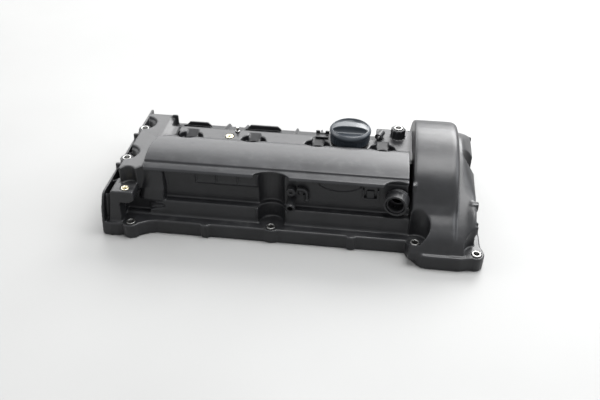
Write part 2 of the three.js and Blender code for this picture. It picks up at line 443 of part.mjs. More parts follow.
const pcvHousing = lathe(PCV.x, PCV.y, [[4, 47], [PCV.r, 47], [PCV.r, 72], [PCV.r + 2.4, 72], [PCV.r + 2.4, 74.4], [PCV.r - 2, 74.4], [PCV.r - 2, 49.4], [4, 49.4]], 22)
  .subtract(rod([PCV.x, PCV.y, 55], [PCV.x + 30, PCV.y, 55], 3.4, 3.4, 12));
const pcvCap = lathe(PCV.x, PCV.y, [[3, 79.6], [PCV.r - 3, 79.6], [PCV.r + 2.4, 77.6], [PCV.r + 2.4, 76], [PCV.r - 1, 76], [PCV.r - 3.4, 77.6], [3, 77.6]], 22);
const pcvDiaphragm = lathe(PCV.x, PCV.y, [[0, 70], [9.5, 70], [11, 72.4], [13.2, 73.6], [14.6, 73.2], [15.2, 74.7], [PCV.r + 2.4, 74.7], [PCV.r + 2.4, 75.7], [14.4, 75.7], [13.4, 74.9], [11, 74.2], [9, 71.5], [0, 71.5]], 22);
const pcvPlate = lathe(PCV.x, PCV.y, [[0, 67.2], [8.6, 67.2], [8.6, 69.7], [0, 69.7]], 20);
class Helix extends THREE.Curve {
  constructor(r, h, t) { super(); this.r = r; this.h = h; this.t = t; }
  getPoint(u, o = V3(0, 0, 0)) { const a = 2 * Math.PI * this.t * u; return o.set(this.r * Math.cos(a), this.r * Math.sin(a), this.h * u); }
}
const springGeo = new THREE.ExtrudeGeometry(new THREE.Shape(circle(0, 0, 0.6, 6).map(([a, b]) => new THREE.Vector2(a, b))), { steps: 42, extrudePath: new Helix(6.6, 15.6, 4.25), bevelEnabled: false, curveSegments: 1 });
const pcvSpring = solid(springGeo, new THREE.Matrix4().makeTranslation(PCV.x, PCV.y, 50.6));

// ---------------------------------------------------------------- fittings
const breather = rod([BREATHER.x - 3.2, BREATHER.y0, BREATHER.z], [BREATHER.x, BREATHER.y1, BREATHER.z], BREATHER.r, BREATHER.r, 24)
  .add(rod([BREATHER.x - 0.6, 21.3, BREATHER.z], [BREATHER.x, BREATHER.y1, BREATHER.z], 15, 15, 24).intersect(box(130, 156.9, 0, 40, SHELF_Z + 1, 80)))
  .subtract(rod([BREATHER.x - 3.5, BREATHER.y0 - 1, BREATHER.z], [BREATHER.x + 0.2, BREATHER.y1 + 1, BREATHER.z], BREATHER.bore, BREATHER.bore, 24))
  .intersect(box(120, 161, 0, 24.3, SHELF_Z + 0.4, 79.9));
const breatherSeal = rod([BREATHER.x - 2.75, 10.6, BREATHER.z], [BREATHER.x - 2.05, 14.4, BREATHER.z], BREATHER.bore - 0.25, BREATHER.bore - 0.25, 20)
  .subtract(rod([BREATHER.x - 3.2, 8, BREATHER.z], [BREATHER.x - 1.4, 18, BREATHER.z], BREATHER.bore - 2, BREATHER.bore - 2, 20));
const nozzle = rod([NOZZLE.x, NOZZLE.y0, NOZZLE.z - 1], [NOZZLE.x, NOZZLE.y1, NOZZLE.z + 2], NOZZLE.r, NOZZLE.r, 14)
  .add(rod([NOZZLE.x, NOZZLE.y0 + 2.2, NOZZLE.z - 0.6], [NOZZLE.x, NOZZLE.y0 + 5, NOZZLE.z], NOZZLE.r + 0.9, NOZZLE.r, 14))
  .subtract(rod([NOZZLE.x, NOZZLE.y0 - 1, NOZZLE.z - 1.2], [NOZZLE.x, NOZZLE.y1 + 1, NOZZLE.z + 2.2], NOZZLE.bore, NOZZLE.bore, 14))
  .intersect(box(0, 40, 0, 24.3, SHELF_Z + 0.3, 70));
const ventValve = rod([21, 15.5, 64.5], [21, 24.3, 64.5], 5.2, 6, 16)
  .subtract(rod([21, 14, 64.5], [21, 18, 64.5], 2, 2, 8));
const hoseClip = union([
  rod([27.8, 20.6, 67], [35.5, 20.6, 67.6], 2.3, 2.3, 12), rod([35, 20.6, 67.6], [39.3, 20.6, 64], 2.3, 2.3, 12), rod([39.3, 20.6, 64.4], [39.6, 20.6, 50.5], 2.3, 2.3, 12),
  rod([39.6, 20.6, 54], [39.6, 20.6, 51.5], 3.1, 3.1, 12), box(30, 33.4, 20.6, 24.3, 60.5, 69.6), box(34.4, 41.4, 20.6, 24.3, 55.6, 59), box(29, 31.2, 18.6, 24.3, 58.8, 61),
]);
const lipClip = box(104.6, 124, 20.6, 24.3, 58.8, 61.4).add(box(104.6, 106.8, 20.6, 24.3, 58.8, 73)).add(box(121.8, 124, 20.6, 24.3, 58.8, 73)).add(box(109.6, 118.6, 22.4, 24.3, 60, 71));

// ---------------------------------------------------------------- filler cap and seals
let cap = lathe(CAP.x, CAP.y, [
  [0, 108.2], [10, 107.7], [17, 106.2], [21.6, 104], [24.6, 102], [26, 99.6], [25.6, 97.2], [24.6, 95.6], [24.6, 86.2],
  [21.4, 86.2], [21.4, 97.4], [13.4, 97.4], [13.4, 72.6], [11, 72.6], [11, 99], [0, 99],
], 30);
cap = cap.subtract(union([
  // finger scoops on both sides of the grip bar
  prismZ(circle(CAP.x, CAP.y, 23, 40), 99.6, 120).intersect(box(CAP.x - 30, CAP.x + 30, CAP.y - 30, CAP.y - 6.4, 90, 120)),
  prismZ(circle(CAP.x, CAP.y, 23, 40), 99.6, 120).intersect(box(CAP.x - 30, CAP.x + 30, CAP.y + 6.4, CAP.y + 30, 90, 120)),
]));
for (const a of [0, Math.PI]) {
  cap = cap.add(box(12.8, 14.8, -4, 4, 73.4, 77).rotate([0, 0, (a * 180) / Math.PI]).translate([CAP.x, CAP.y, 0]));
}
const capSeal = lathe(CAP.x, CAP.y, [[13.8, 93.4], [19.6, 93.4], [19.6, 97], [13.8, 97]], 24);
const wellSeals = WELL_X.map((x) => lathe(x, WELL_Y, [[12.4, 0.6], [14, 0.2], [16, 0.2], [16.6, 1.6], [15.8, 8.2], [13, 8.2]], 18));
const gasketOut = offsetPoly(groovePath, -1.6), gasketIn = offsetPoly(groovePath, 1.6);
const gasket = prismZ(gasketOut, 0.1, 3.2).subtract(prismZ(gasketIn, -1, 5));

// ---------------------------------------------------------------- brackets and pins
const slopeZ = (y) => DECK_Z - 1.4 - (y - 120) * (22.6 / 30);
const bracket = (x0, x1, y, top, ch) => {
  const upright = prismY([[x0, slopeZ(y) + 1], [x1, slopeZ(y) + 1], [x1, top - ch], [x1 - ch, top], [x0 + ch * 1.3, top], [x0, top - ch * 1.3]], y, y + 2.4);
  const foot = prismX([[y - 9, slopeZ(y - 9) + 0.5], [y + 2.4, slopeZ(y + 2.4) + 0.5], [y + 2.4, slopeZ(y + 2.4) + 3], [y - 9, slopeZ(y - 9) + 3]], x0, x1);
  return upright.add(foot);
};
const ribFree = (m) => m;
const rearBracket1 = bracket(-134.4, -99.4, 134, 81.4, 5);
const rearBracket2 = bracket(-52.7, -7.2, 134, 82.2, 4.5);
const rearBracket3 = box(40, 57, 117, 119.4, DECK_Z + GAP, 91).add(box(40, 57, 110, 119.4, DECK_Z + GAP, DECK_Z + 2.6)).subtract(box(45, 52, 116, 120, 88, 95))
  .subtract(cylZ(CAP.x, CAP.y, 27.5, 80, 100, 32));
const pin = cylZ(-60.5, 113, 1.9, 76, 90.5, 10).add(cylZ(-60.5, 113, 3, DECK_Z + GAP, 85.6, 10));
const deckPipe = rod([118.2, 114.5, 88.8], [123, 127, 88.8], 4.4, 4.4, 14).subtract(rod([117.7, 113, 88.8], [123.5, 128.5, 88.8], 2.9, 2.9, 14)).add(box(116.8, 124, 117.5, 124, DECK_Z + GAP, 85.6));
const insert = (x, y, top, d) => lathe(x, y, [[2.3, top - d], [4.9, top - d], [4.9, top], [2.9, top], [2.3, top - 0.8]], 16);

// ---------------------------------------------------------------- assembly
const part = new THREE.Group();
part.name = 'cylinder_head_cover';
const frame = new THREE.Group();
frame.position.set(-(X_LEFT + X_RIGHT) / 2, -(Y_FRONT + Y_REAR) / 2, 0);
part.add(frame);

const MAT = {
  body: { color: 0x1d1e21, roughness: 0.42, metalness: 0 },
  lid: { color: 0x202125, roughness: 0.36, metalness: 0 },
  cap: { color: 0x2b3138, roughness: 0.38, metalness: 0 },
  rubber: { color: 0x101010, roughness: 0.85, metalness: 0 },
  nylon: { color: 0x26282b, roughness: 0.5, metalness: 0 },
  steel: { color: 0xa9abae, roughness: 0.35, metalness: 1 },
  spring: { color: 0x8d9094, roughness: 0.3, metalness: 1 },
  brass: { color: 0xcdbb84, roughness: 0.32, metalness: 1 },
};
// the largest connected body of a solid, without loose offcuts
function largest(man) {
  const all = man.decompose();
  return all.reduce((a, b) => (b.volume() > a.volume() ? b : a));
}
function put(name, raw, mat) {
  const man = largest(raw);
  const mesh = new THREE.Mesh(geometryOf(man), new THREE.MeshStandardMaterial({ ...MAT[mat] }));
  mesh.name = name;
  frame.add(mesh);
}
put('cover_body', body, 'body');
put('separator_lid', lid, 'lid');
put('separator_baffle', baffle, 'nylon');
put('perimeter_gasket', gasket, 'rubber');
wellSeals.forEach((s, i) => put(`coil_well_seal_${i + 1}`, s, 'rubber'));
put('filler_cap', cap, 'cap');
put('filler_cap_seal', capSeal, 'rubber');
put('breather_port', breather, 'nylon');
put('breather_port_seal', breatherSeal, 'rubber');
put('vacuum_nozzle', nozzle, 'nylon');
put('vent_valve', ventValve, 'nylon');
put('hose_clip', hoseClip, 'nylon');
put('lip_clip', lipClip, 'nylon');
put('pcv_housing', pcvHousing, 'nylon');
put('pcv_cap', pcvCap, 'nylon');
put('pcv_diaphragm', pcvDiaphragm, 'rubber');
put('pcv_valve_plate', pcvPlate, 'steel');
put('pcv_spring', pcvSpring, 'spring');
for (const [name, [x, y, z]] of Object.entries(BOLTS)) {
  put(name, lathe(x, y, [[SLEEVE_BORE, 0.4], [SLEEVE_R, 0.4], [SLEEVE_R, z - 0.5], [SLEEVE_R - 0.5, z], [SLEEVE_BORE, z]], 16), 'steel');
}
put('tower_insert', insert(-176, 3, 63.4, 11), 'brass');
put('deck_insert', insert(-68.6, 101, DECK_Z + 0.4, 9), 'brass');
put('rear_bracket_1', rearBracket1, 'nylon');
put('rear_bracket_2', rearBracket2, 'nylon');
put('rear_bracket_3', rearBracket3, 'nylon');
put('locating_pin', pin, 'steel');
put('deck_pipe', deckPipe, 'nylon');

export default part;
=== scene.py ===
import bpy, bmesh, json, math
import numpy as np
from mathutils import Matrix, Vector
from mathutils.kdtree import KDTree

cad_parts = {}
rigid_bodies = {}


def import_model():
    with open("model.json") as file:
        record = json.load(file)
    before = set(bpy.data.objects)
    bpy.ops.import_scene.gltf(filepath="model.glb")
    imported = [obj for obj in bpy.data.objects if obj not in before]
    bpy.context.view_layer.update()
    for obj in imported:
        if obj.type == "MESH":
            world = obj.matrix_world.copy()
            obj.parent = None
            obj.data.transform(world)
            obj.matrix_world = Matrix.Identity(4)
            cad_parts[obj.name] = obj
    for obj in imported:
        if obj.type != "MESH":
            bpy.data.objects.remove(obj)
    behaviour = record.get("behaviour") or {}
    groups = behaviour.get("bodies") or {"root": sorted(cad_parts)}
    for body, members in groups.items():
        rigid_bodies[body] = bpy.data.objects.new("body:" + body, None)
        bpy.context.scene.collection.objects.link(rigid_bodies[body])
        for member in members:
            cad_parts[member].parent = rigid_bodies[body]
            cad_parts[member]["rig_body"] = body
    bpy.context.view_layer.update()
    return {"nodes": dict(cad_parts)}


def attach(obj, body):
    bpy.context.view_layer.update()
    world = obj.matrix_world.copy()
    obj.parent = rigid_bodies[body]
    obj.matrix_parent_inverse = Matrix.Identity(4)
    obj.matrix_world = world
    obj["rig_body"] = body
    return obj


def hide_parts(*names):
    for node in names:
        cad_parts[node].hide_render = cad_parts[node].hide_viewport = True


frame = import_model()
NODES = frame["nodes"]
BODY_OF = {n: o["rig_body"] for n, o in NODES.items()}
OX, OY = 20.5, 91.0                    # drawing coordinates (mm) to the row frame
scene = bpy.context.scene


def S(x, y, z):
    return ((x - OX) * 0.001, (y - OY) * 0.001, z * 0.001)


# ---------------------------------------------------------------- closed solids, drawing coordinates in mm
def from_lists(verts, faces):
    me = bpy.data.meshes.new("s")
    me.from_pydata([S(*v) for v in verts], [], faces)
    bm = bmesh.new()
    bm.from_mesh(me)
    bmesh.ops.recalc_face_normals(bm, faces=bm.faces)
    big = [f for f in bm.faces if len(f.verts) > 4]
    if big:
        bmesh.ops.triangulate(bm, faces=big, ngon_method="EAR_CLIP")
    bm.to_mesh(me)
    bm.free()
    return me


def prism(pts, lo, hi, axis):
    n = len(pts)
    put = {"x": lambda a, b, t: (t, a, b), "y": lambda a, b, t: (a, t, b), "z": lambda a, b, t: (a, b, t)}[axis]
    v = [put(a, b, lo) for a, b in pts] + [put(a, b, hi) for a, b in pts]
    f = [list(range(n))[::-1], list(range(n, 2 * n))] + [[i, (i + 1) % n, n + (i + 1) % n, n + i] for i in range(n)]
    return from_lists(v, f)


def box(x0, x1, y0, y1, z0, z1):
    return prism([(x0, y0), (x1, y0), (x1, y1), (x0, y1)], z0, z1, "z")


def rod(a, b, r0, r1=None, n=48):
    r1 = r0 if r1 is None else r1
    A, B = Vector(a), Vector(b)
    d = (B - A).normalized()
    u = d.orthogonal().normalized()
    w = d.cross(u)
    v = []
    for P, r in ((A, r0), (B, r1)):
        for i in range(n):
            t = 2 * math.pi * i / n
            v.append(tuple(P + u * (r * math.cos(t)) + w * (r * math.sin(t))))
    f = [list(range(n))[::-1], list(range(n, 2 * n))] + [[i, (i + 1) % n, n + (i + 1) % n, n + i] for i in range(n)]
    return from_lists(v, f)


def lathe(x, y, prof, n=96):
    """prof: closed list of (r, z); r is 0 only at the profile's ends."""
    v, f = [], []
    m = len(prof)
    for i in range(n):
        t = 2 * math.pi * i / n
        for r, z in prof:
            v.append((x + r * math.cos(t), y + r * math.sin(t), z))
    for i in range(n):
        j = (i + 1) % n
        for k in range(m):
            l = (k + 1) % m
            if prof[k][0] < 1e-9 and prof[l][0] < 1e-9:
                continue
            f.append([i * m + k, j * m + k, j * m + l, i * m + l])
    me = from_lists(v, f)
    bm = bmesh.new()
    bm.from_mesh(me)
    bmesh.ops.remove_doubles(bm, verts=bm.verts, dist=1e-7)
    bmesh.ops.dissolve_degenerate(bm, edges=bm.edges, dist=1e-8)
    bmesh.ops.recalc_face_normals(bm, faces=bm.faces)
    bm.to_mesh(me)
    bm.free()
    return me


def loft(rings):
    n = len(rings[0])
    v = [p for r in rings for p in r]
    f = []
    for k in range(len(rings) - 1):
        for i in range(n):
            j = (i + 1) % n
            f.append([k * n + i, k * n + j, (k + 1) * n + j, (k + 1) * n + i])
    for base, ring, flip in ((0, rings[0], True), ((len(rings) - 1) * n, rings[-1], False)):
        c = tuple(sum(p[k] for p in ring) / n for k in range(3))
        m = len(v)
        v.append(c)
        for i in range(n):
            a, b = base + i, base + (i + 1) % n
            f.append([m, b, a] if flip else [m, a, b])
    return from_lists(v, f)


def ellipse(x, y, rx, ry, n=96):
    return [(x + rx * math.cos(2 * math.pi * i / n), y + ry * math.sin(2 * math.pi * i / n)) for i in range(n)]


def smooth_curve(pts, n, alpha=0.5):
    """Centripetal Catmull-Rom through pts, sampled at n + 1 evenly spaced points."""
    P = [np.array(p, float) for p in pts]
    P = [2 * P[0] - P[1]] + P + [2 * P[-1] - P[-2]]
    dense = []
    for i in range(1, len(P) - 2):
        p0, p1, p2, p3 = P[i - 1:i + 3]
        t0 = 0.0
        t1 = t0 + max(np.linalg.norm(p1 - p0), 1e-6) ** alpha
        t2 = t1 + max(np.linalg.norm(p2 - p1), 1e-6) ** alpha
        t3 = t2 + max(np.linalg.norm(p3 - p2), 1e-6) ** alpha
        for t in np.linspace(t1, t2, 24, endpoint=False):
            a1 = (t1 - t) / (t1 - t0) * p0 + (t - t0) / (t1 - t0) * p1
            a2 = (t2 - t) / (t2 - t1) * p1 + (t - t1) / (t2 - t1) * p2
            a3 = (t3 - t) / (t3 - t2) * p2 + (t - t2) / (t3 - t2) * p3
            b1 = (t2 - t) / (t2 - t0) * a1 + (t - t0) / (t2 - t0) * a2
            b2 = (t3 - t) / (t3 - t1) * a2 + (t - t1) / (t3 - t1) * a3
            dense.append((t2 - t) / (t2 - t1) * b1 + (t - t1) / (t2 - t1) * b2)
    dense.append(P[-2])
    D = np.array(dense)
    s = np.concatenate([[0], np.cumsum(np.linalg.norm(np.diff(D, axis=0), axis=1))])
    q = np.linspace(0, s[-1], n + 1)
    return [(float(np.interp(a, s, D[:, 0])), float(np.interp(a, s, D[:, 1]))) for a in q]


def offset_open(pts, d):
    out = []
    n = len(pts)
    for i in range(n):
        a, b = pts[max(0, i - 1)], pts[min(n - 1, i + 1)]
        dx, dz = b[0] - a[0], b[1] - a[1]
        l = math.hypot(dx, dz) or 1
        out.append([pts[i][0] + dz / l * d, pts[i][1] - dx / l * d])
    out[0][1], out[-1][1] = pts[0][1], pts[-1][1]
    return [tuple(p) for p in out]


# ---------------------------------------------------------------- mesh work
def new_object(name, me):
    o = bpy.data.objects.new(name, me)
    scene.collection.objects.link(o)
    return o


def cad_mesh(node):
    me = NODES[node].data.copy()
    me.materials.clear()
    bm = bmesh.new()
    bm.from_mesh(me)
    bmesh.ops.remove_doubles(bm, verts=bm.verts, dist=2e-6)
    bm.to_mesh(me)
    bm.free()
    return me


def joined(meshes):
    bm = bmesh.new()
    for me in meshes:
        bm.from_mesh(me)
    out = bpy.data.meshes.new("j")
    bm.to_mesh(out)
    bm.free()
    return out


def evaluated(o):
    dg = bpy.context.evaluated_depsgraph_get()
    me = bpy.data.meshes.new_from_object(o.evaluated_get(dg))
    bpy.data.objects.remove(o)
    return me


def boolean(me, cutters, op="DIFFERENCE"):
    o = new_object("b", me)
    hold = []
    for c in cutters:
        co = new_object("c", c)
        hold.append(co)
        m = o.modifiers.new("b", "BOOLEAN")
        m.operation, m.solver, m.object = op, "MANIFOLD", co
    out = evaluated(o)
    for co in hold:
        bpy.data.objects.remove(co)
    return out


def remesh(me, voxel):
    o = new_object("r", me)
    m = o.modifiers.new("v", "REMESH")
    m.mode, m.voxel_size, m.adaptivity = "VOXEL", voxel * 0.001, 0.0
    return evaluated(o)


def coords(me):
    co = np.zeros(len(me.vertices) * 3, np.float64)
    me.vertices.foreach_get("co", co)
    return co.reshape(-1, 3)


def set_coords(me, co):
    me.vertices.foreach_set("co", co.astype(np.float32).ravel())
    me.update()


def edges_of(me):
    e = np.zeros(len(me.edges) * 2, np.int64)
    me.edges.foreach_get("vertices", e)
    return e.reshape(-1, 2)


def neighbour_mean(co, e, deg):
    out = np.empty_like(co)
    for k in range(3):
        out[:, k] = np.bincount(e[:, 0], co[e[:, 1], k], len(co)) + np.bincount(e[:, 1], co[e[:, 0], k], len(co))
    return out / deg[:, None]


def relax(me, times, weight=None, factor=0.6):
    """Laplacian smoothing: sharp moulded edges become fillets. weight: per-vertex, 0 to 1."""
    e = edges_of(me)
    co = coords(me)
    deg = np.maximum(np.bincount(e.ravel(), minlength=len(co)), 1).astype(float)
    w = factor if weight is None else (factor * weight)[:, None]
    for _ in range(times):
        co += w * (neighbour_mean(co, e, deg) - co)
    set_coords(me, co)
    return me


def thin(me, most, planar=False):
    tris = sum(len(p.vertices) - 2 for p in me.polygons) if len(me.polygons) < 50000 else len(me.polygons) * 2
    if tris <= most:
        return me
    o = new_object("d", me)
    m = o.modifiers.new("d", "DECIMATE")
    m.ratio = most / tris
    return evaluated(o)


def wear_of(me, reach=5):
    """How far each vertex stands out of its surroundings along its normal, in millimetres, from the mesh itself: for
    worn edges.
    """
    e = edges_of(me)
    co = coords(me)
    deg = np.maximum(np.bincount(e.ravel(), minlength=len(co)), 1).astype(float)
    no = np.zeros(len(co) * 3)
    me.vertices.foreach_get("normal", no)
    no = no.reshape(-1, 3)
    m = co.copy()
    for _ in range(reach):
        m = neighbour_mean(m, e, deg)
    out = ((co - m) * no).sum(1) * 1000
    return out


def finish_piece(name, me, material, replaces, voxel_wear=0.12):
    me.materials.clear()
    me.materials.append(material)
    me.shade_smooth()
    o = new_object(name, me)
    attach(o, BODY_OF[replaces[0]])
    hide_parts(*replaces)
    return o


# ---------------------------------------------------------------- materials
def rgb(r, g, b):
    def lin(c):
        c /= 255.0
        return c / 12.92 if c <= 0.04045 else ((c + 0.055) / 1.055) ** 2.4
    return (lin(r), lin(g), lin(b), 1.0)


class Mat:
    def __init__(self, name):
        self.m = bpy.data.materials.new(name)
        self.m.use_nodes = True
        self.t = self.m.node_tree
        self.n = self.t.nodes
        self.n.clear()
        self.out = self.n.new("ShaderNodeOutputMaterial")
        self.b = self.n.new("ShaderNodeBsdfPrincipled")
        self.t.links.new(self.b.outputs[0], self.out.inputs[0])
        self.tc = self.n.new("ShaderNodeTexCoord")
        self.geo = self.n.new("ShaderNodeNewGeometry")

    def link(self, a, b):
        self.t.links.new(a, b)
        return self

    def noise(self, scale, detail=4.0, rough=0.55, stretch=(1, 1, 1), distortion=0.0):
        mp = self.n.new("ShaderNodeMapping")
        mp.inputs["Scale"].default_value = stretch
        self.link(self.tc.outputs["Object"], mp.inputs[0])
        t = self.n.new("ShaderNodeTexNoise")
        t.inputs["Scale"].default_value = scale
        t.inputs["Detail"].default_value = detail
        t.inputs["Roughness"].default_value = rough
        t.inputs["Distortion"].default_value = distortion
        self.link(mp.outputs[0], t.inputs["Vector"])
        return t.outputs["Fac"]

    def voronoi(self, scale, feature="F1"):
        t = self.n.new("ShaderNodeTexVoronoi")
        t.feature = feature
        t.inputs["Scale"].default_value = scale
        self.link(self.tc.outputs["Object"], t.inputs["Vector"])
        return t.outputs["Distance"]

    def ramp(self, fac, a, b, ca=(0, 0, 0, 1), cb=(1, 1, 1, 1)):
        r = self.n.new("ShaderNodeValToRGB")
        r.color_ramp.elements[0].position, r.color_ramp.elements[1].position = a, b
        r.color_ramp.elements[0].color, r.color_ramp.elements[1].color = ca, cb
        self.link(fac, r.inputs[0])
        return r.outputs[0]

    def mix(self, fac, a, b):
        m = self.n.new("ShaderNodeMix")
        m.data_type = "RGBA"
        for s, v in ((m.inputs[0], fac), (m.inputs[6], a), (m.inputs[7], b)):
            if isinstance(v, (tuple, float, int)):
                s.default_value = v
            else:
                self.link(v, s)
        return m.outputs[2]

    def math(self, op, a, b=0.0, clamp=False):
        m = self.n.new("ShaderNodeMath")
        m.operation, m.use_clamp = op, clamp
        for s, v in ((m.inputs[0], a), (m.inputs[1], b)):
            if isinstance(v, (float, int)):
                s.default_value = v
            else:
                self.link(v, s)
        return m.outputs[0]

    def bump(self, layers):
        """layers: (height, strength, distance in metres), finest last."""
        last = None
        for h, s, d in layers:
            b = self.n.new("ShaderNodeBump")
            b.inputs["Strength"].default_value = s
            b.inputs["Distance"].default_value = d
            self.link(h, b.inputs["Height"])
            if last is not None:
                self.link(last, b.inputs["Normal"])
            last = b.outputs[0]
        self.link(last, self.b.inputs["Normal"])


def moulded(name, dark, light, rough, grain=1.0, spec=0.5, wear=0.5, edge=(0.085, 0.088, 0.095, 1)):
    """Glass-filled nylon: fine spark-eroded grain, soft flow streaks, faint scuffs and paler rubbed edges."""
    M = Mat(name)
    mottle = M.noise(38, 5, 0.6)
    flow = M.noise(30, 3, 0.5, stretch=(1, 9, 9), distortion=0.6)
    fibre = M.noise(900, 3, 0.7, stretch=(1, 3.5, 3.5))
    base = M.mix(M.ramp(mottle, 0.35, 0.68), dark, light)
    base = M.mix(M.math("MULTIPLY", M.ramp(flow, 0.55, 0.8), 0.35), base, tuple(1.25 * c for c in light[:3]) + (1,))
    base = M.mix(M.math("MULTIPLY", M.ramp(fibre, 0.62, 0.78), 0.3), base, tuple(1.7 * c for c in light[:3]) + (1,))
    # rubbed edges
    rub = M.ramp(M.geo.outputs["Pointiness"], 0.515, 0.60)
    patch = M.ramp(M.noise(120, 4, 0.65), 0.42, 0.66)
    rubbed = M.math("MULTIPLY", M.math("MULTIPLY", rub, patch), wear)
    base = M.mix(rubbed, base, edge)
    # paler base colour where faces look up: partly settled dust, partly painted light that makes the lit tops
    # brighter than the walls
    up = M.n.new("ShaderNodeSeparateXYZ")
    M.link(M.geo.outputs["Normal"], up.inputs[0])
    dust_and_painted_top_light = M.math("MULTIPLY", M.ramp(up.outputs[2], 0.6, 1.0), M.ramp(M.noise(75, 6, 0.7), 0.52, 0.8))
    base = M.mix(M.math("MULTIPLY", dust_and_painted_top_light, 0.12), base, (0.16, 0.155, 0.145, 1))
    M.link(base, M.b.inputs["Base Color"])
    r = M.math("ADD", rough - 0.06, M.math("MULTIPLY", mottle, 0.12))
    r = M.math("ADD", r, M.math("MULTIPLY", M.ramp(M.noise(260, 3, 0.6, stretch=(0.35, 1, 1)), 0.55, 0.75), 0.05))
    r = M.math("ADD", r, M.math("MULTIPLY", dust_and_painted_top_light, 0.12))
    M.link(r, M.b.inputs["Roughness"])
    M.b.inputs["Specular IOR Level"].default_value = spec
    M.b.inputs["IOR"].default_value = 1.52
    M.bump([
        (M.noise(60, 2, 0.5), 0.25, 0.0005),
        (M.noise(520, 3, 0.6), 0.22 * grain, 0.00012),
        (M.voronoi(2100), 0.16 * grain, 0.00006),
    ])
    return M.m


def rubber(name, base=(0.012, 0.012, 0.013, 1)):
    M = Mat(name)
    mott = M.noise(90, 5, 0.6)
    M.link(M.mix(M.ramp(mott, 0.35, 0.7), base, tuple(2.2 * c for c in base[:3]) + (1,)), M.b.inputs["Base Color"])
    M.link(M.math("ADD", 0.62, M.math("MULTIPLY", mott, 0.2)), M.b.inputs["Roughness"])
    M.b.inputs["Specular IOR Level"].default_value = 0.35
    M.bump([(M.noise(700, 4, 0.6), 0.3, 0.0001)])
    return M.m


def metal(name, a, b, rough=0.3, turned=True, wear=0.6):
    M = Mat(name)
    M.b.inputs["Metallic"].default_value = 1.0
    brushed = M.noise(2600 if turned else 1200, 3, 0.6, stretch=(0.25, 0.25, 2.2) if turned else (1, 1, 1))
    patina = M.noise(420, 5, 0.65)
    M.link(M.mix(M.ramp(patina, 0.3, 0.75), a, b), M.b.inputs["Base Color"])
    M.link(M.math("ADD", rough - 0.05, M.math("MULTIPLY", M.ramp(patina, 0.3, 0.8), 0.16)), M.b.inputs["Roughness"])
    M.bump([(brushed, 0.18, 0.00004), (M.noise(5200, 2, 0.5), 0.1, 0.00003)])
    return M.m


PLASTIC = moulded("cover_plastic_look", (0.0075, 0.0077, 0.0085, 1), (0.0135, 0.0138, 0.0152, 1), 0.38, wear=0.45, spec=0.38)
LID = moulded("lid_plastic_look", (0.010, 0.0103, 0.0115, 1), (0.0165, 0.017, 0.0188, 1), 0.37, grain=0.8, wear=0.35, spec=0.42)
CAP = moulded("cap_plastic_look", (0.012, 0.0165, 0.022, 1), (0.019, 0.025, 0.032, 1), 0.36, grain=0.7, wear=0.4, edge=(0.12, 0.14, 0.16, 1))
FITTING = moulded("fitting_plastic_look", (0.006, 0.0062, 0.0068, 1), (0.012, 0.0123, 0.0135, 1), 0.42, wear=0.5, spec=0.36)
RUBBER = rubber("seal_rubber_look")
STEEL = metal("sleeve_steel_look", (0.20, 0.20, 0.195, 1), (0.34, 0.34, 0.33, 1), 0.34)
SPRING = metal("spring_steel_look", (0.38, 0.38, 0.39, 1), (0.55, 0.55, 0.56, 1), 0.24, turned=False)
BRASS = metal("insert_brass_look", (0.74, 0.68, 0.50, 1), (0.88, 0.83, 0.66, 1), 0.34)

V = 1.0

# ---------------------------------------------------------------- cover
HUMP_TOP = smooth_curve([
    (-20.5, 18), (-17.5, 27), (-13.5, 36), (-2, 46.5), (13, 57), (28, 79), (36, 87.5), (46, 94.5), (62, 102), (84, 108), (108, 109.8),
    (130, 106.5), (150, 97.5), (166, 87), (181, 74), (194, 58), (202, 42), (205.5, 24), (206, 18)], 150)


def hump_ring(x, d):
    top = HUMP_TOP if d == 0 else offset_open(HUMP_TOP, d)
    return [(x, max(-20.5, top[0][0]), 9)] + [(x, y, z) for y, z in top] + [(x, min(206, top[-1][0]), 9)]


def hump_mesh():
    left = [(162.0, 3.4), (162.15, 2.4), (162.6, 1.3), (163.4, 0.5), (164.6, 0.1), (166, 0)]
    right = []
    for k in range(11):                       # tight rounded fold towards the chain end
        t = k / 10 * math.pi / 2
        right.append((207.5 + 8.2 * math.sin(t), 6.4 * (1 - math.cos(t))))
    return loft([hump_ring(x, d) for x, d in left + [(185, 0)] + right + [(215.8, 11), (215.8, 16)]])


def inner_hump():
    inner = [(y, z) for y, z in offset_open(HUMP_TOP, 2.9) if z > 14]
    ring = lambda x: [(x, inner[0][0], 3)] + [(x, y, z) for y, z in inner] + [(x, inner[-1][0], 3)]
    return loft([ring(165.2), ring(200), ring(209.5)])


SH_A = smooth_curve([(-20, 18), (-15, 28), (-6, 37), (8, 47), (27, 58), (45, 67), (70, 78), (103, 86), (125, 87), (140, 85), (160, 77), (180, 64), (197, 45), (204, 30), (206, 18)], 120)
SH_B = smooth_curve([(-19, 18), (-14, 28), (-6, 38), (2, 47), (15, 56), (34, 61), (70, 66), (103, 70.5), (125, 73.5), (145, 75), (160, 72.5), (176, 62), (195, 42), (203, 28), (205, 18)], 120)


def shoulder_ring(x, t, d):
    base = [(a[0] * (1 - t) + b[0] * t, a[1] * (1 - t) + b[1] * t) for a, b in zip(SH_A, SH_B)]
    top = base if d == 0 else offset_open(base, d)
    return [(x, top[0][0], 9)] + [(x, y, z) for y, z in top] + [(x, top[-1][0], 9)]


def shoulder_mesh():
    return loft([shoulder_ring(*a) for a in ((206, 0, 0), (214, 0, 0), (220, 0.02, 0), (224, 0.1, 0), (227, 0.22, 0.1), (230, 0.45, 0), (233, 0.7, 0), (235, 0.88, 0.3), (236.6, 1, 1.1), (237.6, 1, 2.3), (238, 1, 3.6))])


def inner_shoulder():
    rings = []
    for x, t in ((204, 0), (221, 0), (226, 0.3), (231, 0.75), (234.2, 1)):
        r = shoulder_ring(x, t, 3.5)
        rings.append([(x, max(-15, min(200, y)), 3 if k in (0, len(r) - 1) else z) for k, (x, y, z) in enumerate(r)])
    return loft(rings)


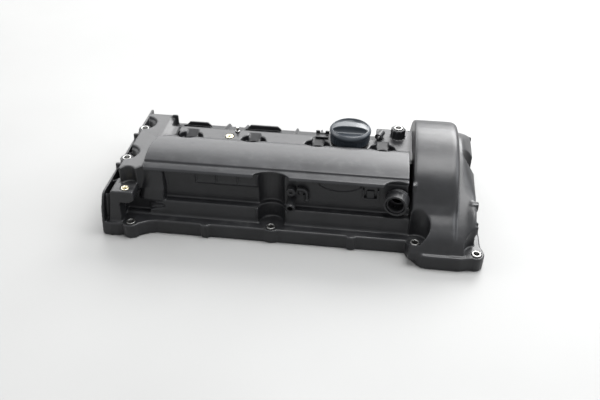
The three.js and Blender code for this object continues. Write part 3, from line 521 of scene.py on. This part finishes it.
def channels():
    return [rod((170, -2, 19.2), (170, -2, 66), 15, n=72), rod((240, -14, 19.2), (240, -14, 66), 15, n=72), rod((238.5, 99, 19.2), (238.5, 99, 96), 14.8, n=72)]


extra = [boolean(hump_mesh(), [inner_hump()] + channels()), boolean(shoulder_mesh(), [inner_shoulder()] + channels())]


def add(*meshes):
    extra.extend(meshes)


def build_cover():
    me = cad_mesh("cover_body")
    me = joined([me] + extra)
    me = remesh(me, 0.85 * V)
    relax(me, 4)
    co = coords(me) * 1000 + np.array([OX, OY, 0])
    # the hump and the shoulder are one soft moulding: their facets melt
    x, y, z = co.T
    w = np.clip((x - 163.5) / 3, 0, 1) * np.clip((z - 24) / 6, 0, 1)
    soft = w * (x > 163.5)
    keep = np.minimum(np.hypot(x - 238.5, y - 99) - 17, np.minimum(np.hypot(x - 170, y + 2) - 17, np.hypot(x - 240, y + 14) - 17))
    soft = soft * np.clip(keep / 3, 0, 1) * np.clip((236 - x) / 3, 0.15, 1)
    relax(me, 14, soft)
    me = thin(me, 195000)
    return me


cover = finish_piece("cover_shell", build_cover(), PLASTIC, ["cover_body"])

# ---------------------------------------------------------------- separator lid
LID_TOP = smooth_curve([(84, 87.0), (83.2, 89.2), (81, 91.9), (77, 94.2), (72, 95.2), (60, 94.9), (50, 94.0), (41, 92.6), (33, 90.8), (27.6, 89.3)], 60)
WELL_X = [3.3 + 81 * k for k in (-1.5, -0.5, 0.5, 1.5)]


def build_lid():
    outer = [(16.1, 82.6), (15.75, 81.7), (16.1, 81.0), (17.3, 80.7), (24.3, 84.6), (24.7, 81.8), (73, 81.8), (73, 84.3), (84, 84.3)] + LID_TOP + \
        [(26.95, 88.6), (26.6, 86.9), (26.0, 86.6), (25.2, 86.9), (21.5, 86.1), (17.4, 84.8)]
    plan = [(-153, 10), (157, 10), (157, 90), (-131, 90), (-131, 84.6), (-140, 81), (-147, 75.5), (-152.4, 68), (-155.6, 58), (-157, 46), (-157, 22), (-156, 17)]
    me = prism(outer, -158, 158, "x")
    me = boolean(me, [prism(plan, 60, 110, "z")], "INTERSECT")
    inner = [(27.9, 80), (69.8, 80), (69.8, 90.6), (60, 91.7), (50, 90.8), (41, 89.4), (33, 87.7), (28.2, 86.2)]
    cutters = [prism(inner, -147.5, 154, "x")]
    cutters += [prism(ellipse(x, 89.5, 16.6, 16.6), 70, 110, "z") for x in WELL_X]
    cutters += [prism(ellipse(-3, 12, 23.5, 12.3), 60, 110, "z"), prism(ellipse(145.5, 12, 18, 12.2), 60, 110, "z"), prism(ellipse(-3, 17, 21.2, 21.2), 60, 84.7, "z")]
    me = boolean(me, cutters)
    me = remesh(me, 0.55 * V)
    relax(me, 5)
    return thin(me, 130000)


lid = finish_piece("separator_lid_shell", build_lid(), LID, ["separator_lid"])

# ---------------------------------------------------------------- filler cap
def build_cap():
    cx, cy = 83.5, 110
    prof = [(0, 108.15), (8, 107.85), (13, 107.2), (17, 106.2), (19.5, 105.2), (21.6, 104.1), (23.4, 103.1), (24.8, 101.9), (25.7, 100.4), (25.98, 98.9), (25.7, 97.3), (25.0, 96.0), (24.6, 95.2),
            (24.6, 86.2), (21.4, 86.2), (21.4, 97.4), (13.4, 97.4), (13.4, 72.6), (11, 72.6), (11, 99), (0, 99)]
    me = lathe(cx, cy, prof, 128)
    scoop = []
    for side in (-1, 1):                                 # a dished finger scoop on each side of the grip bar
        ring = lambda r, z, bar: [(cx + r * math.sin(a), cy + side * max(bar, r * math.cos(a)), z) for a in [math.radians(-78 + 156 * i / 40) for i in range(41)]]
        levels = [ring(17.5, 99.4, 9.2), ring(19.6, 99.9, 8.0), ring(21.2, 100.9, 7.0), ring(22.3, 102.4, 6.4), ring(23.0, 104.4, 6.0), ring(23.3, 107, 5.8), ring(23.5, 120, 5.6)]
        scoop.append(loft(levels))
    for c in scoop:
        me = boolean(me, [c])
    lugs = [box(cx + s * 12.4, cx + s * 14.8, cy - 4, cy + 4, 73.4, 77) for s in (1,)] + [box(cx - 14.8, cx - 12.4, cy - 4, cy + 4, 73.4, 77)]
    ribs = []
    for k in range(40):                                  # fine grip flutes round the skirt
        a = 2 * math.pi * (k + 0.5) / 40
        x, y = cx + 24.45 * math.cos(a), cy + 24.45 * math.sin(a)
        ribs.append(rod((x, y, 86.6), (x, y, 94.6), 0.55, n=10))
    me = joined([me] + lugs + ribs)
    me = remesh(me, 0.42 * V)
    relax(me, 5)
    return thin(me, 60000)


cap = finish_piece("filler_cap_shell", build_cap(), CAP, ["filler_cap"])


# ---------------------------------------------------------------- everything else
def soften(node, material, voxel, times=3, most=40000, more=(), cut=()):
    me = cad_mesh(node)
    if cut:
        me = boolean(me, list(cut))
    if more:
        me = joined([me] + list(more))
    me = remesh(me, voxel * V)
    relax(me, times)
    me = thin(me, most)
    return finish_piece(node + "_shape", me, material, [node])


BOLTS = {
    "front_sleeve_1": (-172, -6, 20.5), "front_sleeve_2": (-2, 6, 20.5), "front_sleeve_3": (170, -2, 20.5), "front_sleeve_4": (240, -14, 20.5),
    "left_sleeve_1": (-187, 49, 76), "left_sleeve_2": (-186, 120, 76),
    "rear_sleeve_1": (-150, 200, 20.5), "rear_sleeve_2": (-56, 200, 20.5), "rear_sleeve_3": (38, 200, 20.5), "rear_sleeve_4": (132, 200, 20.5),
    "rear_sleeve_5": (236, 199, 20.5), "right_sleeve": (238.5, 99, 20.5), "deck_sleeve": (143, 127, 97.5)}
for n, (x, y, z) in BOLTS.items():
    prof = [(3.4, 0.9), (3.8, 0.4), (5.0, 0.4), (5.5, 0.9), (5.5, z - 0.75), (5.42, z - 0.35), (5.15, z - 0.06), (4.95, z), (3.95, z), (3.62, z - 0.14), (3.4, z - 0.5)]
    finish_piece(n + "_turned", lathe(x, y, prof, 72), STEEL, [n])


def knurled(node, x, y, top, depth):
    teeth = 28
    n = teeth * 4
    prof = [(2.3, top - depth), (4.7, top - depth), (4.9, top - depth + 0.3), (4.9, top - 0.9), (4.75, top - 0.35), (4.5, top), (3.1, top), (2.75, top - 0.3), (2.3, top - 0.9)]
    v, f, m = [], [], 9
    for i in range(n):
        t = 2 * math.pi * i / n
        for k, (r, z) in enumerate(prof):
            if 1 <= k <= 3 and i % 4 in (0, 1):
                r -= 0.22
            v.append((x + r * math.cos(t), y + r * math.sin(t), z))
    for i in range(n):
        j = (i + 1) % n
        for k in range(m):
            l = (k + 1) % m
            f.append([i * m + k, j * m + k, j * m + l, i * m + l])
    o = finish_piece(node + "_knurled", from_lists(v, f), BRASS, [node])
    return o


knurled("tower_insert", -176, 3, 63.4, 11)
knurled("deck_insert", -68.6, 101, 84.4, 9)

soften("breather_port", FITTING, 0.42, 6)
soften("breather_port_seal", RUBBER, 0.25, 3, 16000)
soften("vacuum_nozzle", FITTING, 0.3, 6, 24000)
soften("vent_valve", FITTING, 0.28, 5, 16000)
soften("hose_clip", FITTING, 0.32, 3, 20000)
soften("lip_clip", FITTING, 0.34, 3, 16000)
soften("deck_pipe", FITTING, 0.3, 5, 16000)
soften("locating_pin", STEEL, 0.22, 4, 10000)
for k in (1, 2, 3):
    soften(f"rear_bracket_{k}", FITTING, 0.42, 3, 24000)
soften("perimeter_gasket", RUBBER, 0.6, 3, 60000)
for k in (1, 2, 3, 4):
    soften(f"coil_well_seal_{k}", RUBBER, 0.4, 4, 16000)
soften("filler_cap_seal", RUBBER, 0.4, 4, 16000)
soften("separator_baffle", FITTING, 0.6, 3, 60000)
soften("pcv_housing", FITTING, 0.45, 4, 30000)
soften("pcv_cap", FITTING, 0.4, 4, 20000)
soften("pcv_diaphragm", RUBBER, 0.35, 4, 20000)
soften("pcv_valve_plate", STEEL, 0.3, 4, 10000)


def helix(x, y, z0, r, h, turns, wire, n=170, m=14):
    v, f = [], []
    for i in range(n + 1):
        u = i / n
        a = 2 * math.pi * turns * u
        c = Vector((x + r * math.cos(a), y + r * math.sin(a), z0 + h * u))
        t = Vector((-r * math.sin(a) * 2 * math.pi * turns, r * math.cos(a) * 2 * math.pi * turns, h)).normalized()
        nrm = Vector((math.cos(a), math.sin(a), 0))
        bn = t.cross(nrm)
        for k in range(m):
            b = 2 * math.pi * k / m
            v.append(tuple(c + nrm * (wire * math.cos(b)) + bn * (wire * math.sin(b))))
    for i in range(n):
        for k in range(m):
            l = (k + 1) % m
            f.append([i * m + k, i * m + l, (i + 1) * m + l, (i + 1) * m + k])
    f += [list(range(m))[::-1], list(range(n * m, (n + 1) * m))]
    return from_lists(v, f)


finish_piece("pcv_spring_coil", helix(84, 49, 50.6, 6.6, 15.6, 4.25, 0.6), SPRING, ["pcv_spring"])

# ---------------------------------------------------------------- floor, light, camera
def floor_material():
    M = Mat("floor_look")
    M.link(M.mix(M.ramp(M.noise(3, 3, 0.5), 0.3, 0.7), (0.255, 0.255, 0.251, 1), (0.273, 0.273, 0.269, 1)), M.b.inputs["Base Color"])
    M.b.inputs["Roughness"].default_value = 0.55
    M.b.inputs["Specular IOR Level"].default_value = 0.2
    return M.m


fm = bpy.data.meshes.new("floor")
fm.from_pydata([(-6, -5, 0), (6, -5, 0), (6, 9, 0), (-6, 9, 0)], [], [(0, 1, 2, 3)])
floor = new_object("floor", fm)
fm.materials.append(floor_material())
floor.location.z = -0.0003

world = bpy.data.worlds.new("studio")
scene.world = world
world.use_nodes = True
world.node_tree.nodes["Background"].inputs[0].default_value = (0.97, 0.98, 1.0, 1)
world.node_tree.nodes["Background"].inputs[1].default_value = 0.90


def area(name, at, to, size, watts, color=(1, 1, 1)):
    l = bpy.data.lights.new(name, "AREA")
    l.shape, l.size, l.size_y, l.energy, l.color = "RECTANGLE", size[0], size[1], watts, color
    o = bpy.data.objects.new(name, l)
    scene.collection.objects.link(o)
    o.location = at
    o.rotation_mode = "QUATERNION"
    o.rotation_quaternion = (Vector(to) - Vector(at)).to_track_quat("-Z", "Y")
    return o


area("back_softbox", (0, 1.9, 1.45), (0, 0.05, 0), (3.2, 1.3), 77)
area("back_right_softbox", (0.9, 1.7, 1.5), (0.1, 0.05, 0), (1.2, 1.2), 50)
area("overhead_strip", (0.42, 0.08, 1.65), (0.18, 0, 0.08), (0.7, 1.1), 31)
area("right_softbox", (1.7, 0.2, 1.2), (0.1, 0, 0), (1.2, 1.2), 22, (0.93, 0.96, 1.0))
area("left_softbox", (-1.7, 0.2, 1.2), (-0.1, 0, 0), (1.2, 1.2), 20)

cd = bpy.data.cameras.new("camera")
cam = bpy.data.objects.new("camera", cd)
scene.collection.objects.link(cam)
cd.sensor_fit, cd.sensor_width = "HORIZONTAL", 36.0
cd.lens = 36.0 * 684.38 / 600.0
cd.clip_start, cd.clip_end = 0.05, 50
p, th, r = math.radians(36.63), math.radians(6.65), math.radians(0.47)
fw = Vector((-math.sin(th) * math.cos(p), math.cos(th) * math.cos(p), -math.sin(p)))
right = Vector((math.cos(th), math.sin(th), 0))
up = right.cross(fw)
r2 = math.cos(r) * right + math.sin(r) * up
u2 = -math.sin(r) * right + math.cos(r) * up
cam.matrix_world = Matrix(((r2.x, u2.x, -fw.x, 0.08658), (r2.y, u2.y, -fw.y, -0.71958), (r2.z, u2.z, -fw.z, 0.53762), (0, 0, 0, 1)))
scene.camera = cam
scene.view_settings.view_transform = "Standard"
